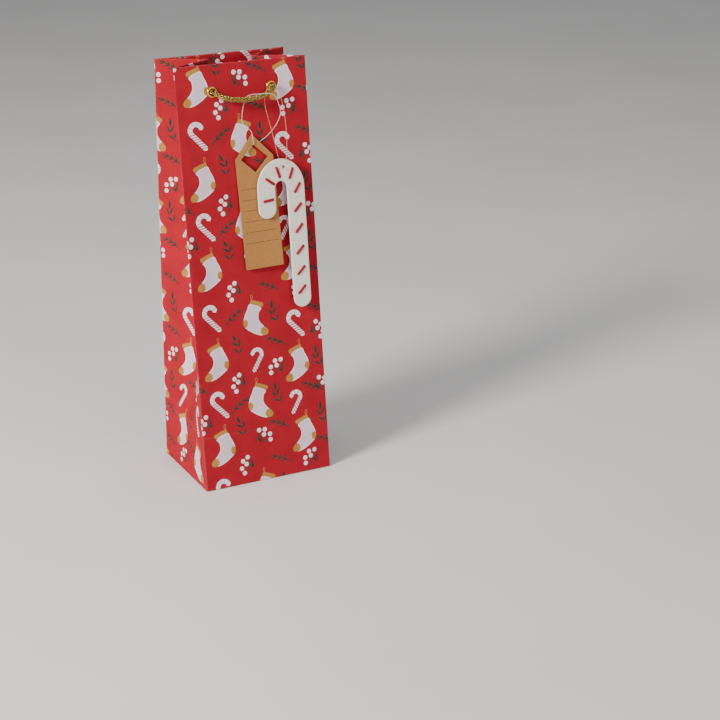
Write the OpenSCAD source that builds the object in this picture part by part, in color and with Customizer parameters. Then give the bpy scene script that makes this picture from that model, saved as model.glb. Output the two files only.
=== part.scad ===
// Tall paper gift bag for one bottle, with gusseted sides, cord handles and two hanging ornaments.
// +Z up, the front faces -Y, the origin is the centre of the bottom.

/* [Bag] */
// Width across the front
bag_w = 120; // [100:1:150]
// Depth of the bottom, front to back
bag_d = 96; // [80:1:115]
// Height to the top edge
bag_h = 364; // [300:1:440]
// Thickness of the paper
paper_t = 0.4; // [0.3:0.05:0.6]
// How far the front's top edge stands back from its bottom edge
front_lean = 43; // [36:0.5:46]
// How far the back's top edge stands forward of its bottom edge
back_lean = 10; // [4:0.5:14]
// How deep the side pleats fold in at the top edge
pleat_in = 40; // [25:1:45]

/* [Folds and seams] */
// Free gap beside each folding crease
crease_gap = 0.2; // [0.15:0.05:0.4]
// Gap between the bottom and the back, which the layers of the flat bag need
fold_gap = 0.8; // [0.8:0.1:2]
// Gap between a pleat and the panels beside it
pleat_gap = 0.3; // [0.2:0.05:0.5]
// Depth of the turned-in top hem
hem_h = 36; // [32:1:50]
// How far the hem and its card stop short of the panel's sides
hem_inset = 6; // [5:0.5:12]
// Thickness of the card behind the hem
card_t = 1; // [0.6:0.1:1.4]
// Width of the glued side seam
seam_w = 14; // [8:1:18]
// Length of the bottom's inner flap, front to back
inner_flap = 62; // [45:1:72]
// Length of each dust flap, side to side
dust_flap = 42; // [30:1:48]

/* [Handles] */
// Diameter of the braided cord
cord_d = 4.8; // [3:0.1:5.5]
// Distance between a pair of eyelets
eyelet_span = 54; // [44:1:64]
// Height of the eyelets below the top edge, along the panel
eyelet_drop = 23; // [16:0.5:26]
// Gap around the cord in its eyelet
cord_gap = 0.2; // [0.1:0.05:0.4]
// Wall of an eyelet's barrel
eyelet_wall = 0.35; // [0.25:0.05:0.6]
// Diameter of an eyelet's flange
flange_d = 9.4; // [8:0.1:11]
// Thickness of an eyelet's flange
flange_t = 0.6; // [0.4:0.1:0.9]
// How far the loop sags below the eyelets
cord_sag = 8; // [6:0.5:11]
// How far the loop stands forward of its pivot
cord_out = 4.5; // [4:0.5:7]
// Radius of a knot behind the panel
knot_r = 4.2; // [4:0.1:4.8]
// Depth of a knot behind the panel
knot_depth = 5.5; // [4:0.5:6]

/* [Tag] */
// Width of the kraft tag
tag_w = 34; // [26:0.5:40]
// Height of the tag, point to foot
tag_h = 115; // [90:1:125]
// Height of the tag's pointed top
tag_point = 20; // [12:0.5:24]
// Thickness of the tag
tag_t = 0.8; // [0.5:0.1:1.2]
// Side of the square window, which stands on its corner
window_side = 17; // [12:0.5:20]
// Turn of the tag in its own plane
tag_turn = 2.3; // [0:0.1:4]
// Diameter of the tag's thread
tag_thread_d = 0.8; // [0.6:0.1:1]

/* [Cane] */
// Width of the cane's felt band
cane_band = 16.5; // [12:0.5:18]
// Width of the hook, outside
cane_w = 44; // [40:0.5:50]
// Height of the cane
cane_h = 131; // [100:1:140]
// Height of the hook's short side
hook_h = 50; // [40:1:60]
// Thickness of the felt
cane_t = 2.4; // [1.6:0.1:3]
// Radius of the hole for the thread
cane_hole_r = 1.4; // [1.2:0.1:2]
// Stitches in the cane
stitch_count = 10; // [6:1:14]
// Length of one stitch
stitch_l = 10; // [6:0.5:11]
// Width of one stitch
stitch_w = 2.2; // [1.4:0.1:3]
// Height of one stitch above the felt
stitch_t = 0.6; // [0.4:0.1:0.9]
// Diameter of the cane's thread
cane_thread_d = 0.8; // [0.6:0.1:1]

/* [Hidden] */
$fn = 48;

// Panels: angle from upright, length along the panel
front_tilt = atan(front_lean / bag_h);
back_tilt = atan(back_lean / bag_h);
front_len = bag_h / cos(front_tilt);
back_len = bag_h / cos(back_tilt);

// Bottom: three layers of paper, and the crease half its depth up
stack_t = 3 * paper_t;
bottom_y0 = -bag_d / 2 + paper_t + stack_t * tan(front_tilt) + crease_gap / 2;
bottom_y1 = bag_d / 2 - paper_t - fold_gap;
crease_h = bag_d / 2;
pleat_rows = 12;

// Cord: it turns about a line in front of its eyelets
eyelet_r = cord_d / 2 + cord_gap;
hole_r = eyelet_r + eyelet_wall + 0.1;
layers_t = 2 * paper_t + card_t;
cord_pivot = flange_t + cord_d / 2 + 0.3;
front_eye_v = front_len - eyelet_drop;
back_eye_v = back_len - eyelet_drop;
cord_steps = 24;
cord_sides = 12;

// Ornaments: places on the front panel, across, up and out from it
tag_x = 5;
tag_top = front_eye_v - 38;
tag_out = 0.6;
cane_x = 21;
cane_top = front_eye_v - 61;
cane_out = 4.2;
thread_gap = 0.25;
slope_gap = 0.75;
thread_sides = 8;
cane_centre = [27, cane_top - cane_w / 2 - 3];
cane_hole = [cane_centre[0] + 4, cane_top - 7.5];
window_y = tag_top - 8.5 - window_side / sqrt(2);

// Local axes of a panel: x across, y inwards from its outer face, z up along it
module on_front() {
    translate([0, -bag_d / 2, 0]) rotate([-front_tilt, 0, 0]) children();
}
module on_back() {
    translate([0, bag_d / 2, 0]) rotate([back_tilt, 0, 0]) mirror([0, 1, 0]) children();
}

// A box on a panel: half its width, from depth n0 to n1, from height v0 to v1
module slab(half, n0, n1, v0, v1) {
    translate([-half, n0, v0]) cube([2 * half, n1 - n0, v1 - v0]);
}
module eyelet_holes(v, n0, n1) {
    for (s = [-1, 1])
        translate([s * eyelet_span / 2, n0 - 1, v]) rotate([-90, 0, 0])
            cylinder(r = hole_r, h = n1 - n0 + 2);
}

// Depth of a face at height z, and how far the pleat's middle crease has folded in there
function front_in(z) = -bag_d / 2 + z * tan(front_tilt) + paper_t / cos(front_tilt);
function back_in(z) = bag_d / 2 - z * tan(back_tilt) - paper_t / cos(back_tilt);
function middle(z) = (front_in(z) + back_in(z)) / 2;
function pleat(z) = pleat_in * (z - crease_h) / (bag_h - crease_h);

// A tube along points, with its ends closed; side is a direction that the path never takes
function unit(a) = a / norm(a);
function along(p, i) = unit(p[min(i + 1, len(p) - 1)] - p[max(i - 1, 0)]);
module tube(p, r, sides, side = [0, 1, 0]) {
    n = len(p);
    rings = [for (i = [0:n - 1])
        let (t = along(p, i), a = unit(cross(t, side)), b = cross(t, a))
        for (k = [0:sides - 1]) p[i] + r * (cos(360 * k / sides) * a + sin(360 * k / sides) * b)];
    walls = [for (i = [0:n - 2], k = [0:sides - 1])
        let (q = i * sides, m = (k + 1) % sides)
        each [[q + k, q + m, q + sides + k], [q + m, q + sides + m, q + sides + k]]];
    polyhedron(rings, concat(walls,
        [[for (k = [sides - 1:-1:0]) k], [for (k = [0:sides - 1]) (n - 1) * sides + k]]));
}

// Back wall, which the bag is held by, and its glued seam
module back_panel() {
    color("firebrick") on_back() difference() {
        slab(bag_w / 2, 0, paper_t, 0, back_len);
        eyelet_holes(back_eye_v, 0, paper_t);
    }
}
module side_seam_lap() {
    color("brown") on_back()
        translate([bag_w / 2 - seam_w - 2, paper_t, crease_h + 2])
            cube([seam_w, paper_t, back_len - hem_h - crease_h - 4]);
}
module card(v, len) {
    difference() {
        slab(bag_w / 2 - hem_inset, paper_t, paper_t + card_t, len - hem_h + 1, len - 0.5);
        eyelet_holes(v, paper_t, paper_t + card_t);
    }
}
module hem(v, len) {
    difference() {
        slab(bag_w / 2 - hem_inset, paper_t + card_t, layers_t, len - hem_h, len);
        eyelet_holes(v, paper_t + card_t, layers_t);
    }
}
module back_card() { color("tan") on_back() card(back_eye_v, back_len); }
module back_hem() { color("firebrick") on_back() hem(back_eye_v, back_len); }

// Bottom: outer flap on the table, inner flap on it, dust flaps on top
module bottom_outer_flap() {
    color("firebrick") translate([-bag_w / 2, bottom_y0, 0])
        cube([bag_w, bottom_y1 - bottom_y0, paper_t]);
}
module bottom_inner_flap() {
    color("brown") translate([-bag_w / 2 + 1, bottom_y1 - inner_flap, paper_t])
        cube([bag_w - 2, inner_flap, paper_t]);
}
module dust_flap(side) {
    edge = bag_w / 2 - 1 - dust_flap;
    corner = dust_flap / 3;
    color("brown") translate([0, 0, 2 * paper_t]) linear_extrude(paper_t)
        scale([side, 1]) polygon([
            [edge, bottom_y0 + corner], [edge + corner, bottom_y0 + 1],
            [edge + dust_flap, bottom_y0 + 1], [edge + dust_flap, bottom_y1 - 1],
            [edge + corner, bottom_y1 - 1], [edge, bottom_y1 - corner]]);
}

// Front wall in two parts, which fold at the crease
module front_lower_panel() {
    color("firebrick") on_front()
        slab(bag_w / 2, 0, paper_t, stack_t + 2 * crease_gap, crease_h - crease_gap);
}
module front_upper_panel() {
    color("firebrick") on_front() difference() {
        slab(bag_w / 2, 0, paper_t, crease_h + crease_gap, front_len);
        eyelet_holes(front_eye_v, 0, paper_t);
    }
}
module front_card() { color("tan") on_front() card(front_eye_v, front_len); }
module front_hem() { color("firebrick") on_front() hem(front_eye_v, front_len); }

// Side walls: each pleat is two leaves that meet at its middle crease, above a foot
module leaf(side, panel_y, way) {
    z0 = crease_h + crease_gap;
    z1 = bag_h - crease_gap;
    rings = [for (i = [0:pleat_rows])
        let (z = z0 + (z1 - z0) * i / pleat_rows, edge = panel_y(z) - way * pleat_gap,
             mid = middle(z) + way * pleat_gap / 2, x0 = bag_w / 2, x1 = bag_w / 2 - pleat(z),
             row = [[x0, edge, z], [x1, mid, z], [x1 - paper_t, mid, z], [x0 - paper_t, edge, z]])
        each way < 0 ? row : [for (k = [3:-1:0]) row[k]]];
    last = 4 * pleat_rows;
    walls = [for (i = [0:pleat_rows - 1], k = [0:3])
        let (q = 4 * i, m = (k + 1) % 4)
        each k < 2 ? [[q + 4 + k, q + 4 + m, q + m], [q + 4 + k, q + m, q + k]]
            : [[q + 4 + k, q + 4 + m, q + k], [q + 4 + m, q + m, q + k]]];
    color("crimson") mirror([side < 0 ? 1 : 0, 0, 0])
        polyhedron(rings, concat(walls, [[0, 1, 2, 3], [last + 3, last + 2, last + 1, last]]));
}
module pleat_rear(side) { leaf(side, function (z) back_in(z), 1); }
module pleat_front(side) { leaf(side, function (z) front_in(z), -1); }
module pleat_foot(side) {
    z0 = stack_t + 2 * crease_gap;
    z1 = crease_h - crease_gap;
    color("crimson") translate([side > 0 ? bag_w / 2 - paper_t : -bag_w / 2, 0, 0])
        rotate([90, 0, 90]) linear_extrude(paper_t) polygon([
            [front_in(z0) + pleat_gap, z0], [back_in(z0) - pleat_gap, z0],
            [back_in(z1) - pleat_gap, z1], [front_in(z1) + pleat_gap, z1]]);
}

// Eyelet: barrel through the layers, a flange on each side
module eyelet(v, side) {
    color("gold") translate([side * eyelet_span / 2, 0, v]) rotate([-90, 0, 0]) difference() {
        union() {
            translate([0, 0, -flange_t]) cylinder(d = flange_d, h = flange_t);
            translate([0, 0, -flange_t]) cylinder(r = eyelet_r + eyelet_wall, h = layers_t + 2 * flange_t);
            translate([0, 0, layers_t]) cylinder(d = flange_d - 1, h = flange_t);
        }
        translate([0, 0, -flange_t - 1]) cylinder(r = eyelet_r, h = layers_t + 2 * flange_t + 2);
    }
}

// Knot: the cord's end, through the eyelet and tied behind it
module knot(v, side) {
    top = layers_t + flange_t;
    color("goldenrod") translate([side * eyelet_span / 2, 0, v]) rotate([-90, 0, 0]) {
        translate([0, 0, -flange_t]) cylinder(d = cord_d, h = top + flange_t + 0.1);
        translate([0, 0, top]) rotate_extrude() polygon([
            [0, 0], [knot_r * 0.75, 0], [knot_r, knot_depth * 0.3], [knot_r, knot_depth * 0.7],
            [knot_r * 0.75, knot_depth], [0, knot_depth]]);
    }
}

// Loop of cord from one eyelet to the other: it leaves straight out, then sags
function loop_point(v, a) =
    let (s = sin(a), c = cos(a), up = s * s * (1.6 - 0.6 * s * s))
    [-eyelet_span / 2 * c, -cord_pivot - cord_out * (1 - pow(abs(c), 5)), v - cord_sag * up];
module handle_loop(v) {
    color("goldenrod")
        tube([for (i = [0:cord_steps]) loop_point(v, 180 * i / cord_steps)],
            cord_d / 2, cord_sides, [0, 0, 1]);
}

// Kraft tag: pointed top, square window on its corner
module gift_tag() {
    color("peru") on_front() translate([tag_x, -tag_out - tag_t, tag_top]) rotate([0, -tag_turn, 0])
        translate([0, tag_t, 0]) rotate([90, 0, 0]) linear_extrude(tag_t) difference() {
            polygon([[0, 0], [tag_w / 2, -tag_point], [tag_w / 2, -tag_h],
                     [-tag_w / 2, -tag_h], [-tag_w / 2, -tag_point]]);
            translate([0, window_y - tag_top]) rotate(45) square(window_side, center = true);
        }
}

// Thread over the cord: across, out and up at the cord, then down both strands to one place
function cord_angle(x) = acos(-2 * x / eyelet_span);
function over_cord(x, d, gap) =
    let (c = loop_point(front_eye_v, cord_angle(x)), r = cord_d / 2 + gap + d / 2)
    [for (a = [0:30:180]) c + r * [0, -cos(a), sin(a)]];
module tag_thread() {
    low = window_y + window_side / sqrt(2) - tag_thread_d / 2 - thread_gap;
    near = -tag_out - tag_t - thread_gap - tag_thread_d;
    color("white") on_front()
        tube(concat(
            [[tag_x + 0.6, near, low + 1], [tag_x, near, tag_top - 4], [tag_x - 5, near - 1, tag_top + 6],
             [tag_x - 6, near - 4, tag_top + 20]],
            over_cord(tag_x, tag_thread_d, thread_gap),
            [[tag_x + 7, near - 1.5, tag_top + 20], [tag_x + 6, near - 0.6, tag_top + 9],
             [tag_x + 2, near - 0.3, tag_top + 3]]),
            tag_thread_d / 2, thread_sides, [1, 0, 0]);
}

// Felt cane: a long shaft, an arch and a short hook
module cane_shape() {
    arch_h = cane_top - cane_centre[1];
    inner_rx = cane_w / 2 - cane_band;
    foot = cane_top - cane_h;
    tip = cane_top - hook_h;
    polygon(concat(
        [for (a = [0:10:180]) cane_centre + [cane_w / 2 * cos(a), arch_h * sin(a)]],
        [for (a = [180:20:360]) [cane_centre[0] - cane_w / 2 + cane_band / 2, tip + cane_band / 2]
            + cane_band / 2 * [cos(a), sin(a)]],
        [for (a = [180:-15:0]) cane_centre + [inner_rx * cos(a), (inner_rx + 0.5) * sin(a)]],
        [for (a = [180:20:360]) [cane_centre[0] + cane_w / 2 - cane_band / 2, foot + cane_band / 2]
            + cane_band / 2 * [cos(a), sin(a)]]));
}
module cane_ornament() {
    color("ivory") on_front() translate([0, -cane_out, 0]) rotate([90, 0, 0]) linear_extrude(cane_t)
        difference() {
            cane_shape();
            translate(cane_hole) circle(r = cane_hole_r);
        }
}

// Stitches: spaced evenly from the hook's tip, round the arch and down the shaft
function stitch_place(s) =
    let (r = (cane_w - cane_band) / 2, tip_l = hook_h - cane_band / 2 - (cane_top - cane_centre[1]),
         arch = r * PI, x = cane_centre[0], y = cane_centre[1])
    s < tip_l ? [x - r, y - tip_l + s, 12]
    : s < tip_l + arch ?
        let (a = 180 - (s - tip_l) * 180 / arch) [x + r * cos(a), y + (r + 2) * sin(a), a + 180]
    : [x + r, y - (s - tip_l - arch), 38];
module cane_stitches() {
    r = (cane_w - cane_band) / 2;
    first = stitch_w / 2;
    arch_h = cane_top - cane_centre[1];
    last = hook_h - arch_h + r * PI + cane_h - arch_h - 2 * cane_band;
    color("crimson") on_front() for (i = [0:stitch_count - 1]) {
        p = stitch_place(first + i * (last - first) / (stitch_count - 1));
        translate([p[0], -cane_out - cane_t, p[1]]) rotate([90, 0, 0]) rotate(p[2])
            linear_extrude(stitch_t) square([stitch_l, stitch_w], center = true);
    }
}
module cane_thread() {
    near = -cane_out - cane_t - 2 * cane_thread_d;
    far = -cane_out + thread_gap + cane_thread_d / 2 + 0.2;
    x = cane_hole[0];
    v = cane_hole[1];
    color("gold") on_front()
        tube(concat(
            [[x, far - 0.3, v], [x - 0.2, near + 0.2, v + 0.2], [x - 1, near, v + 4],
             [x - 6, near - 0.8, v + 28], [cane_x - 3, near - 1.5, v + 52]],
            over_cord(cane_x, cane_thread_d, slope_gap),
            [[cane_x + 1, far - 1.5, v + 54], [x + 1, far - 1, v + 30], [x + 1, far, v + 8],
             [x + 0.5, far + 0.4, v + 1]]),
            cane_thread_d / 2, thread_sides, [1, 0, 0]);
}

back_panel();
side_seam_lap();
back_card();
back_hem();
on_back() eyelet(back_eye_v, -1);  // eyelet_back_left
on_back() eyelet(back_eye_v, 1);  // eyelet_back_right
on_back() knot(back_eye_v, -1);  // back_knot_left
on_back() knot(back_eye_v, 1);  // back_knot_right
bottom_outer_flap();
bottom_inner_flap();
dust_flap(-1);  // dust_flap_left
dust_flap(1);  // dust_flap_right
front_lower_panel();
front_upper_panel();
front_card();
front_hem();
on_front() eyelet(front_eye_v, -1);  // eyelet_front_left
on_front() eyelet(front_eye_v, 1);  // eyelet_front_right
on_front() knot(front_eye_v, -1);  // front_knot_left
on_front() knot(front_eye_v, 1);  // front_knot_right
pleat_rear(-1);  // pleat_rear_left
pleat_rear(1);  // pleat_rear_right
pleat_front(-1);  // pleat_front_left
pleat_front(1);  // pleat_front_right
pleat_foot(-1);  // pleat_foot_left
pleat_foot(1);  // pleat_foot_right
on_front() handle_loop(front_eye_v);  // front_handle_cord
on_back() handle_loop(back_eye_v);  // back_handle_cord
gift_tag();
tag_thread();
cane_ornament();
cane_stitches();
cane_thread();
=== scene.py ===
import math

import bmesh
import bpy
import numpy as np
from mathutils import Matrix, Vector
from mathutils.geometry import delaunay_2d_cdt


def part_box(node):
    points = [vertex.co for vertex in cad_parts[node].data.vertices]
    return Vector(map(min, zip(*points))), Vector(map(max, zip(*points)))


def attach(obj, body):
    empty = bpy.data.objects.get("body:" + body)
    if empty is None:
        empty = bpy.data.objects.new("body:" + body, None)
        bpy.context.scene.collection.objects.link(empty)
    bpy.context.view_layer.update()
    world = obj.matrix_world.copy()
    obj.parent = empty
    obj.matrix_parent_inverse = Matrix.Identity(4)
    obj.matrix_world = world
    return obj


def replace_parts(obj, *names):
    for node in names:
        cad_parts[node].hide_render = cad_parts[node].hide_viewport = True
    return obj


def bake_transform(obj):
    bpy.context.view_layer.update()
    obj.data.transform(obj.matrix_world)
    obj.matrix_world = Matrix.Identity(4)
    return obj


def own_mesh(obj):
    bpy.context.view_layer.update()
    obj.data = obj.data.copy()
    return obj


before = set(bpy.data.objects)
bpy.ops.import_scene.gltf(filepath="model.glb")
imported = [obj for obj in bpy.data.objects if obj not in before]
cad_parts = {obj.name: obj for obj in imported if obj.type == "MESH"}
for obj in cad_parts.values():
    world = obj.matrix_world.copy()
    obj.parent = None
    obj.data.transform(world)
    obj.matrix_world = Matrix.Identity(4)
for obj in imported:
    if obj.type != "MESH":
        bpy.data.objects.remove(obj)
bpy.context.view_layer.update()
mm = 0.001


def nodeBox(node):
    low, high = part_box(node)
    return np.array(low) / mm, np.array(high) / mm


# bag sizes, all in millimetres, read off the frame
backLow, backHigh = nodeBox("back_panel")
frontLow, frontHigh = nodeBox("front_upper_panel")
paper = nodeBox("bottom_outer_flap")[1][2]
halfW, halfD, height = backHigh[0], backHigh[1], backHigh[2]
frontLean = frontHigh[1] + halfD - paper
backLean = halfD - backLow[1] - paper
creaseH = nodeBox("pleat_rear_left")[0][2] - 0.2
pleatIn = halfW + nodeBox("pleat_rear_left")[1][0] - paper
frontTilt, backTilt = math.atan(frontLean / height), math.atan(backLean / height)
frontLen, backLen = height / math.cos(frontTilt), height / math.cos(backTilt)

bag = {
    "foldRadius": 1.0,  # of the paper's folded edges
    "grid": 5.0,  # spacing of the points that let a wall bend
    "hemDepth": 35.0,
    "hemThick": 1.75,  # panel, card and hem together
    "sideHemThick": 0.8,
    "bulge": 0.9,  # how far the side leaves belly
    "hollow": 1.1,  # how far the front bows in
    "footDent": 4,  # how far the side's middle is drawn in at its crease
}

printBack = -216  # where the back's middle lies in the print


# materials
def newMaterial(name, colour, roughness, **sockets):
    mat = bpy.data.materials.new(name)
    mat.use_nodes = True
    bsdf = mat.node_tree.nodes["Principled BSDF"]
    bsdf.inputs["Base Color"].default_value = (*colour, 1)
    bsdf.inputs["Roughness"].default_value = roughness
    for key, value in sockets.items():
        bsdf.inputs[key.replace("_", " ")].default_value = value
    return mat, mat.node_tree, bsdf


def addNode(tree, kind, **values):
    node = tree.nodes.new(kind)
    for key, value in values.items():
        if hasattr(node, key):
            setattr(node, key, value)
        else:
            node.inputs[key.replace("_", " ")].default_value = value
    return node


def noiseOf(tree, scale, detail=3.0, stretch=(1, 1, 1)):
    coord = addNode(tree, "ShaderNodeTexCoord")
    mapping = addNode(tree, "ShaderNodeMapping")
    mapping.inputs["Scale"].default_value = stretch
    noise = addNode(tree, "ShaderNodeTexNoise", Scale=scale, Detail=detail)
    tree.links.new(coord.outputs["Object"], mapping.inputs["Vector"])
    tree.links.new(mapping.outputs["Vector"], noise.inputs["Vector"])
    return noise.outputs["Fac"]


def ramped(tree, factor, low, high, a=0.35, b=0.65):
    ramp = addNode(tree, "ShaderNodeValToRGB")
    ramp.color_ramp.elements[0].position, ramp.color_ramp.elements[1].position = a, b
    ramp.color_ramp.elements[0].color = (*low, 1)
    ramp.color_ramp.elements[1].color = (*high, 1)
    tree.links.new(factor, ramp.inputs["Fac"])
    return ramp.outputs["Color"]


def mixed(tree, factor, a, b):
    mix = addNode(tree, "ShaderNodeMix", data_type="RGBA")
    for slot, value in ((0, factor), (6, a), (7, b)):
        if isinstance(value, (int, float)):
            mix.inputs[slot].default_value = value
        elif isinstance(value, tuple):
            mix.inputs[slot].default_value = (*value, 1)
        else:
            tree.links.new(value, mix.inputs[slot])
    return mix.outputs[2]


def bumped(tree, bsdf, heights, strength, distance):
    last = None
    for factor in heights:
        bump = addNode(tree, "ShaderNodeBump", Strength=strength, Distance=distance)
        tree.links.new(factor, bump.inputs["Height"])
        if last:
            tree.links.new(last.outputs["Normal"], bump.inputs["Normal"])
        last = bump
    tree.links.new(last.outputs["Normal"], bsdf.inputs["Normal"])


def paperMaterial(name, colour, wornColour, speck=0.88):
    # handmade paper: fibres, a little mottling, pale where folds have rubbed
    mat, tree, bsdf = newMaterial(name, colour, 0.82, Specular_IOR_Level=0.25)
    fibres = noiseOf(tree, 1500, 4, (1, 1, 0.45))
    mottle = noiseOf(tree, 60, 2)
    dark = tuple(c * speck for c in colour)
    ink = ramped(tree, fibres, dark, colour, 0.38, 0.6)
    ink = mixed(tree, 0.5, ink, ramped(tree, mottle, dark, tuple(min(1, c * 1.08) for c in colour)))
    wear = addNode(tree, "ShaderNodeAttribute", attribute_name="wear")
    rub = addNode(tree, "ShaderNodeMath", operation="MULTIPLY")
    tree.links.new(wear.outputs["Fac"], rub.inputs[0])
    tree.links.new(noiseOf(tree, 420, 3), rub.inputs[1])
    tree.links.new(mixed(tree, rub.outputs[0], ink, wornColour), bsdf.inputs["Base Color"])
    bumped(tree, bsdf, [fibres, noiseOf(tree, 500, 3)], 0.5, 0.0002)
    return mat


def cardMaterial(name, colour):
    mat, tree, bsdf = newMaterial(name, colour, 0.85, Specular_IOR_Level=0.2)
    fibres = noiseOf(tree, 2200, 4, (1, 1, 0.3))
    dark = tuple(c * 0.8 for c in colour)
    light = tuple(min(1, c * 1.12) for c in colour)
    tree.links.new(ramped(tree, fibres, dark, light, 0.3, 0.7), bsdf.inputs["Base Color"])
    bumped(tree, bsdf, [fibres], 0.3, 0.0001)
    return mat


def feltMaterial(name, colour):
    mat, tree, bsdf = newMaterial(name, colour, 0.95, Specular_IOR_Level=0.15)
    bsdf.inputs["Sheen Weight"].default_value = 0.3
    fluff = noiseOf(tree, 1800, 6)
    dark = tuple(c * 0.86 for c in colour)
    tree.links.new(ramped(tree, fluff, dark, colour, 0.35, 0.6), bsdf.inputs["Base Color"])
    bumped(tree, bsdf, [fluff, noiseOf(tree, 350, 2)], 0.5, 0.0002)
    return mat


def metalMaterial(name, colour, roughness=0.24):
    mat, tree, bsdf = newMaterial(name, colour, roughness, Metallic=1.0)
    scuffs = noiseOf(tree, 900, 3)
    rough = addNode(tree, "ShaderNodeMapRange")
    rough.inputs["To Min"].default_value = roughness * 0.7
    rough.inputs["To Max"].default_value = roughness * 1.5
    tree.links.new(scuffs, rough.inputs["Value"])
    tree.links.new(rough.outputs["Result"], bsdf.inputs["Roughness"])
    bumped(tree, bsdf, [scuffs], 0.08, 0.00005)
    return mat


def yarnMaterial(name, colour, dark, metallic, roughness, scale):
    # yarn whose filaments glint, with darker threads among them; the cord's core, seen only in the gaps
    # between strands, is mixed to a near-black painted shade
    mat, tree, bsdf = newMaterial(name, colour, roughness, Metallic=metallic)
    filaments = noiseOf(tree, scale, 4, (1, 1, 2))
    core = addNode(tree, "ShaderNodeAttribute", attribute_name="painted_shade").outputs["Fac"]
    yarn = ramped(tree, filaments, dark, colour, 0.4, 0.54)
    # painted shade: the marked core takes a near-black colour that stands for the shadow between strands
    tree.links.new(mixed(tree, core, yarn, tuple(c * 0.6 for c in dark)), bsdf.inputs["Base Color"])
    bumped(tree, bsdf, [filaments], 0.6, 0.00015)
    return mat


red, white, ochre, green, stripe, blush, inside, knit = range(8)
inks = [
    paperMaterial("paperRed", (0.4, 0.006, 0.018), (0.66, 0.1, 0.12), 0.84),
    paperMaterial("paperPrintWhite", (0.9, 0.8, 0.84), (0.9, 0.82, 0.85), 0.93),
    paperMaterial("paperPrintOchre", (0.5, 0.24, 0.05), (0.7, 0.4, 0.15), 0.76),
    paperMaterial("paperPrintGreen", (0.008, 0.05, 0.036), (0.15, 0.1, 0.08), 0.75),
    paperMaterial("paperPrintStripe", (0.5, 0.06, 0.12), (0.7, 0.3, 0.3)),
    paperMaterial("paperPrintBlush", (0.72, 0.3, 0.38), (0.8, 0.6, 0.6)),
    paperMaterial("paperInside", (0.36, 0.012, 0.025), (0.6, 0.1, 0.1)),
    paperMaterial("paperPrintKnit", (0.78, 0.6, 0.68), (0.85, 0.75, 0.8), 0.9),
]
kraft = cardMaterial("kraftCard", (0.42, 0.19, 0.055))
board = cardMaterial("greyBoard", (0.42, 0.33, 0.24))
writingLine = cardMaterial("writingLine", (0.07, 0.045, 0.035))
felt = feltMaterial("felt", (0.87, 0.8, 0.72))
stitchRed = yarnMaterial("stitchThread", (0.42, 0.004, 0.02), (0.2, 0.002, 0.008), 0.0, 0.7, 2600)
brass = metalMaterial("eyeletBrass", (0.72, 0.4, 0.07))
goldYarn = yarnMaterial("goldYarn", (0.55, 0.36, 0.09), (0.03, 0.02, 0.008), 0.9, 0.34, 1300)
goldThread = yarnMaterial("goldThread", (0.8, 0.62, 0.3), (0.4, 0.28, 0.1), 0.6, 0.4, 2500)
whiteThread = yarnMaterial("whiteThread", (0.9, 0.86, 0.84), (0.7, 0.64, 0.62), 0.0, 0.5, 2500)
print("materials made")


# print on the paper
def oval(x, y, rx, ry, n=14):
    turns = [2 * math.pi * k / n for k in range(n)]
    return [(x + rx * math.cos(a), y + ry * math.sin(a)) for a in turns]


def disc(x, y, r, n=14):
    return oval(x, y, r, r, n)


def stroke(points, width, taper=1.0):
    # outline of a line drawn with a round pen; taper thins its far end
    p = np.array(points, float)
    d = np.gradient(p, axis=0)
    d /= np.linalg.norm(d, axis=1)[:, None]
    side = np.stack([-d[:, 1], d[:, 0]], 1)
    half = np.linspace(width / 2, width / 2 * taper, len(p))[:, None]
    left, right = p + side * half, p - side * half
    tip, tail = p[-1] + d[-1] * half[-1] * 0.8, p[0] - d[0] * half[0] * 0.8
    return [tuple(q) for q in [tail, *right, tip, *left[::-1]]]


def arc(cx, cy, r, a0, a1, n):
    turns = np.radians(np.linspace(a0, a1, n))
    return [(cx + r * math.cos(a), cy + r * math.sin(a)) for a in turns]


def smoothLine(points, closed=False, steps=8):
    # a curve through all the points
    p = np.array(points, float)
    n = len(p)
    if closed:
        q = np.vstack([p[-1], p, p[0], p[1]])
    else:
        q = np.vstack([2 * p[0] - p[1], p, 2 * p[-1] - p[-2]])
    line = []
    for i in range(n if closed else n - 1):
        a, b, c, d = q[i:i + 4]
        for t in np.arange(steps) / steps:
            line.append(0.5 * (2 * b + (c - a) * t + (2 * a - 5 * b + 4 * c - d) * t * t
                               + (3 * b - a - 3 * c + d) * t ** 3))
    if not closed:
        line.append(p[-1])
    return np.array(line)


def softOutline(points):
    return [tuple(p) for p in smoothLine(points, True, 3)]


def insetBy(poly, by):
    # poly runs anticlockwise
    p = np.array(poly)
    d = np.roll(p, -1, 0) - np.roll(p, 1, 0)
    d /= np.linalg.norm(d, axis=1)[:, None]
    return [tuple(q) for q in p + np.stack([-d[:, 1], d[:, 0]], 1) * by]


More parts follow.
